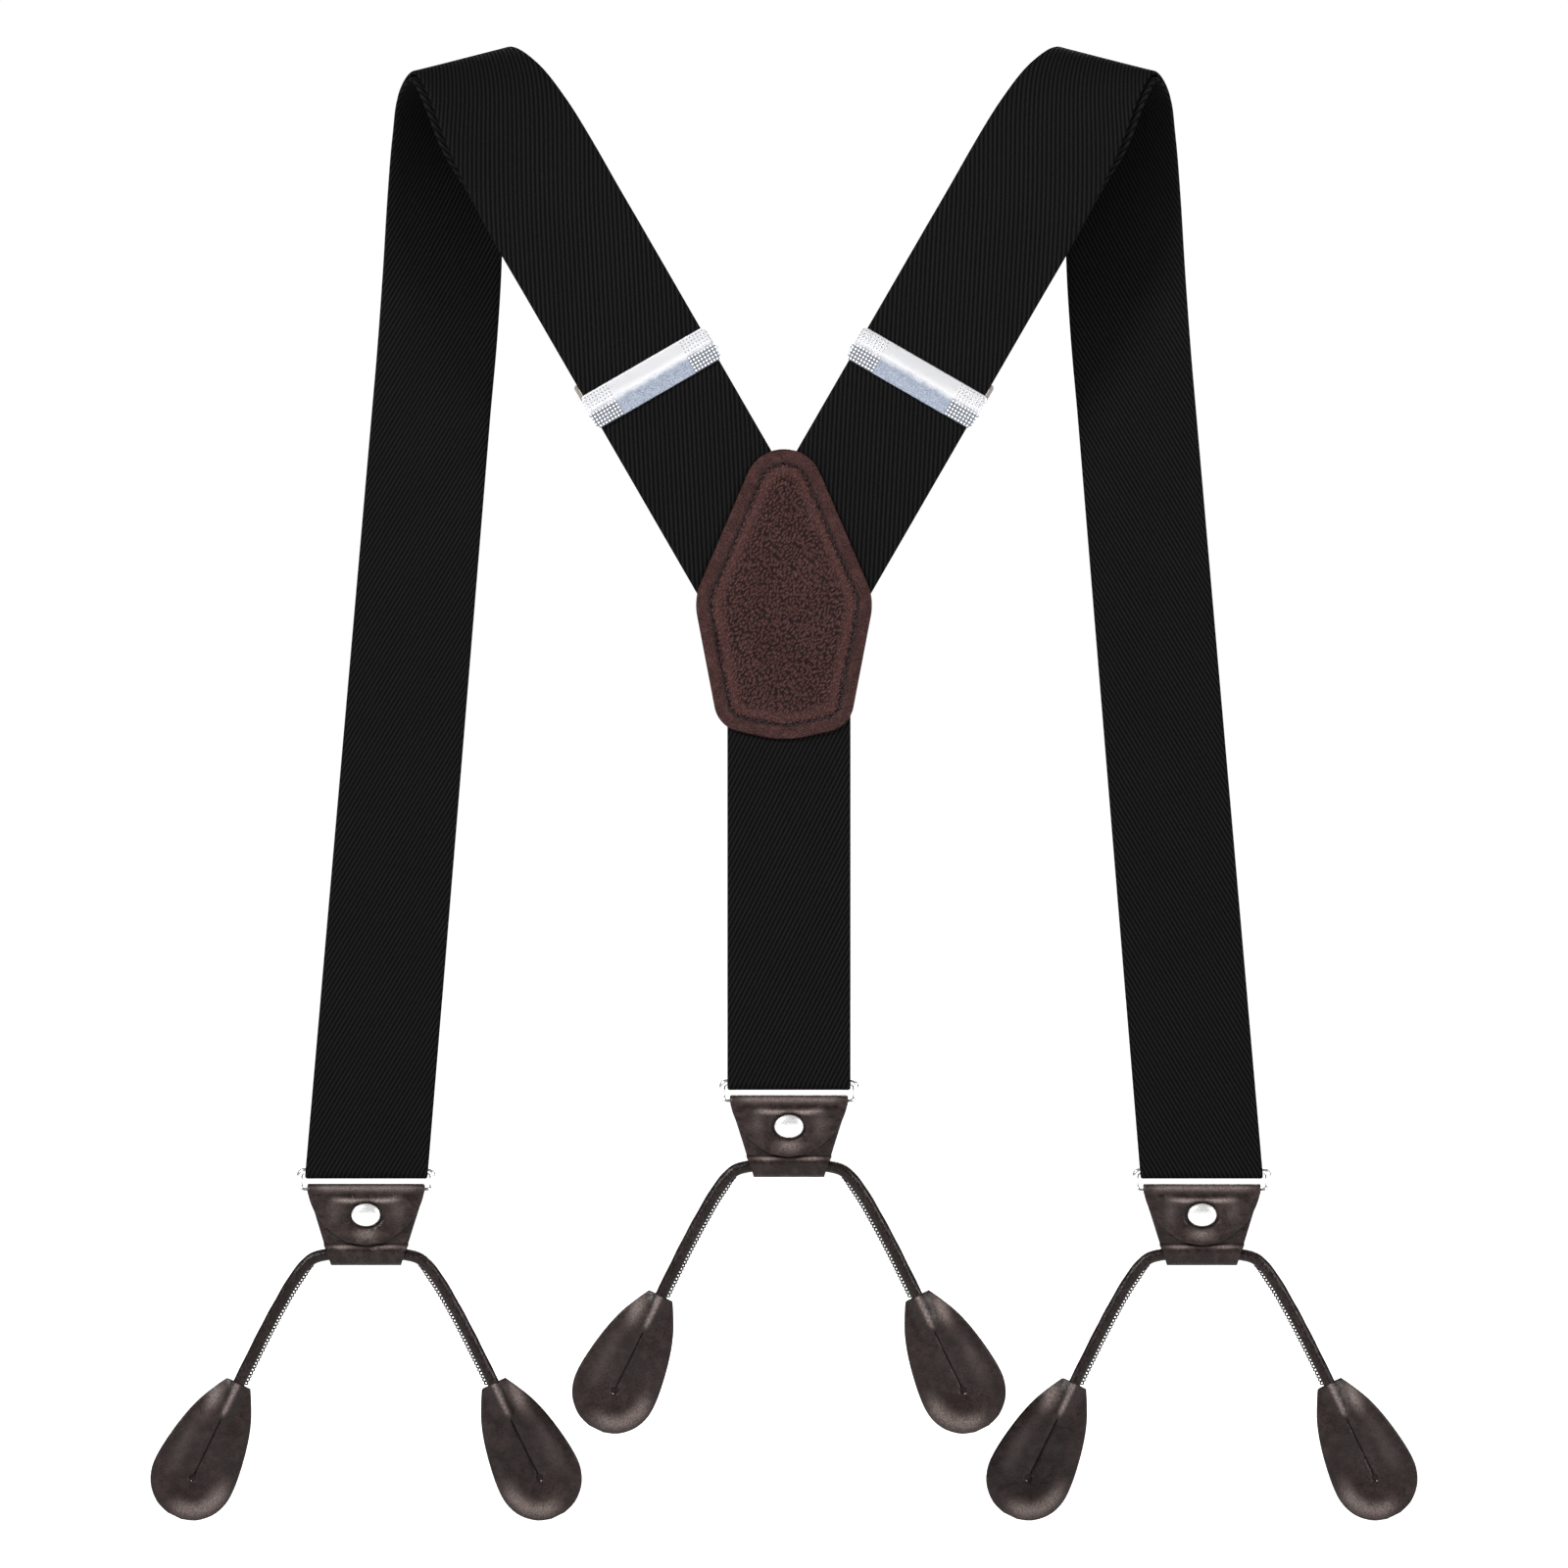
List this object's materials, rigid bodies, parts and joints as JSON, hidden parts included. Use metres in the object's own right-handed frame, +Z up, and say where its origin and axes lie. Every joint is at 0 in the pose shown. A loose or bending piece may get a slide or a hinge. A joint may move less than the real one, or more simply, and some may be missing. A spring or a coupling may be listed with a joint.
{
  "type": "suspenders",
  "caption": "Y-back suspenders in black webbing with metal adjusters, a padded leather back patch and leather button ends on rings.",
  "frame": {"origin": "midway between the two shoulder folds, level with the inner crest of the webbing there", "axes": "+Z up as the suspenders hang, +X to the viewer's right when looking at the back patch, +Y from the back patch towards the front straps"},
  "size_m": [0.3604, 0.0358, 0.4192],
  "materials": {
    "webbing": "black twill webbing, matt with a faint sheen",
    "patch_leather": "dark brown pebbled leather, semi-matt",
    "tab_leather": "very dark brown smooth leather, semi-gloss",
    "cord_leather": "rolled dark brown leather cord with a stitched edge",
    "thread": "dark brown stitching thread",
    "filler": "soft felt filler, hidden",
    "nickel": "bright nickel plate"
  },
  "bodies": {
    "root": {"left_back_webbing": "webbing", "left_shoulder_fold": "webbing", "left_return_webbing": "webbing", "right_back_webbing": "webbing", "right_shoulder_fold": "webbing", "right_return_webbing": "webbing", "centre_webbing": "webbing", "patch_front": "patch_leather", "patch_filler": "filler", "patch_stitching": "thread", "patch_back": "patch_leather"},
    "left_adjuster": {"left_adjuster_plate": "nickel", "left_adjuster_pin": "nickel"},
    "left_lever": {"left_adjuster_lever": "nickel", "left_webbing_tail": "webbing"},
    "left_front": {"left_front_upper_webbing": "webbing"},
    "left_lower": {"left_front_webbing": "webbing", "left_front_loop": "webbing"},
    "right_adjuster": {"right_adjuster_plate": "nickel", "right_adjuster_pin": "nickel"},
    "right_lever": {"right_adjuster_lever": "nickel", "right_webbing_tail": "webbing"},
    "right_front": {"right_front_upper_webbing": "webbing"},
    "right_lower": {"right_front_webbing": "webbing", "right_front_loop": "webbing"},
    "left_ring": {"left_ring": "nickel"},
    "left_tab": {"left_tab_loop": "tab_leather", "left_tab_sleeve": "tab_leather", "left_rivet_cap": "nickel", "left_rivet_base": "nickel"},
    "left_ears": {"left_cord": "cord_leather", "left_left_ear_front": "tab_leather", "left_left_ear_back": "tab_leather", "left_right_ear_front": "tab_leather", "left_right_ear_back": "tab_leather"},
    "right_ring": {"right_ring": "nickel"},
    "right_tab": {"right_tab_loop": "tab_leather", "right_tab_sleeve": "tab_leather", "right_rivet_cap": "nickel", "right_rivet_base": "nickel"},
    "right_ears": {"right_cord": "cord_leather", "right_left_ear_front": "tab_leather", "right_left_ear_back": "tab_leather", "right_right_ear_front": "tab_leather", "right_right_ear_back": "tab_leather"},
    "centre_ring": {"centre_ring": "nickel"},
    "centre_tab": {"centre_tab_loop": "tab_leather", "centre_tab_sleeve": "tab_leather", "centre_rivet_cap": "nickel", "centre_rivet_base": "nickel"},
    "centre_ears": {"centre_cord": "cord_leather", "centre_left_ear_front": "tab_leather", "centre_left_ear_back": "tab_leather", "centre_right_ear_front": "tab_leather", "centre_right_ear_back": "tab_leather"}
  },
  "joints": [
    {"name": "left_adjuster_slide", "type": "slide", "parent": "root", "child": "left_adjuster", "axis": [-0.5, 0, 0.866], "range_m": [-0.022, 0.022], "deforming": ["left_return_webbing"]},
    {"name": "left_lever_hinge", "type": "hinge", "parent": "left_adjuster", "child": "left_lever", "pos_m": [-0.03684, -0.0068, -0.0894], "axis": [-0.866, 0, -0.5], "range_deg": [0, 70]},
    {"name": "left_shoulder", "type": "hinge", "parent": "root", "child": "left_front", "pos_m": [-0.095, 0.01, -0.012], "axis": [1, 0, 0], "range_deg": [-3, 75], "deforming": ["left_shoulder_fold"]},
    {"name": "left_drop", "type": "slide", "parent": "left_front", "child": "left_lower", "axis": [-0.0846, 0, -0.9964], "range_m": [-0.011, 0.011], "deforming": ["left_front_webbing"]},
    {"name": "right_adjuster_slide", "type": "slide", "parent": "root", "child": "right_adjuster", "axis": [0.5, 0, 0.866], "range_m": [-0.022, 0.022], "deforming": ["right_return_webbing"]},
    {"name": "right_lever_hinge", "type": "hinge", "parent": "right_adjuster", "child": "right_lever", "pos_m": [0.03684, -0.0068, -0.0894], "axis": [-0.866, 0, 0.5], "range_deg": [0, 70]},
    {"name": "right_shoulder", "type": "hinge", "parent": "root", "child": "right_front", "pos_m": [0.095, 0.01, -0.012], "axis": [1, 0, 0], "range_deg": [-3, 75], "deforming": ["right_shoulder_fold"]},
    {"name": "right_drop", "type": "slide", "parent": "right_front", "child": "right_lower", "axis": [0.0846, 0, -0.9964], "range_m": [-0.011, 0.011], "deforming": ["right_front_webbing"]},
    {"name": "left_ring_hinge", "type": "hinge", "parent": "left_lower", "child": "left_ring", "pos_m": [-0.1188, 0.00945, -0.31285], "axis": [1, 0, 0], "range_deg": [-45, 45]},
    {"name": "left_tab_hinge", "type": "hinge", "parent": "left_ring", "child": "left_tab", "pos_m": [-0.1188, 0.00945, -0.31845], "axis": [1, 0, 0], "range_deg": [-60, 60]},
    {"name": "left_ears_hinge", "type": "hinge", "parent": "left_tab", "child": "left_ears", "pos_m": [-0.1188, 0.00945, -0.33585], "axis": [1, 0, 0], "range_deg": [-75, 75]},
    {"name": "right_ring_hinge", "type": "hinge", "parent": "right_lower", "child": "right_ring", "pos_m": [0.1188, 0.00945, -0.31285], "axis": [1, 0, 0], "range_deg": [-45, 45]},
    {"name": "right_tab_hinge", "type": "hinge", "parent": "right_ring", "child": "right_tab", "pos_m": [0.1188, 0.00945, -0.31845], "axis": [1, 0, 0], "range_deg": [-60, 60]},
    {"name": "right_ears_hinge", "type": "hinge", "parent": "right_tab", "child": "right_ears", "pos_m": [0.1188, 0.00945, -0.33585], "axis": [1, 0, 0], "range_deg": [-75, 75]},
    {"name": "centre_ring_hinge", "type": "hinge", "parent": "root", "child": "centre_ring", "pos_m": [0.0014, -0.00795, -0.28715], "axis": [1, 0, 0], "range_deg": [-45, 45]},
    {"name": "centre_tab_hinge", "type": "hinge", "parent": "centre_ring", "child": "centre_tab", "pos_m": [0.0014, -0.00795, -0.29275], "axis": [1, 0, 0], "range_deg": [-60, 60]},
    {"name": "centre_ears_hinge", "type": "hinge", "parent": "centre_tab", "child": "centre_ears", "pos_m": [0.0014, -0.00795, -0.31015], "axis": [1, 0, 0], "range_deg": [-75, 75]}
  ],
  "couplings": [
    {"joint": "left_drop", "follows": "left_adjuster_slide", "ratio": 0.5},
    {"joint": "right_drop", "follows": "right_adjuster_slide", "ratio": 0.5}
  ]
}
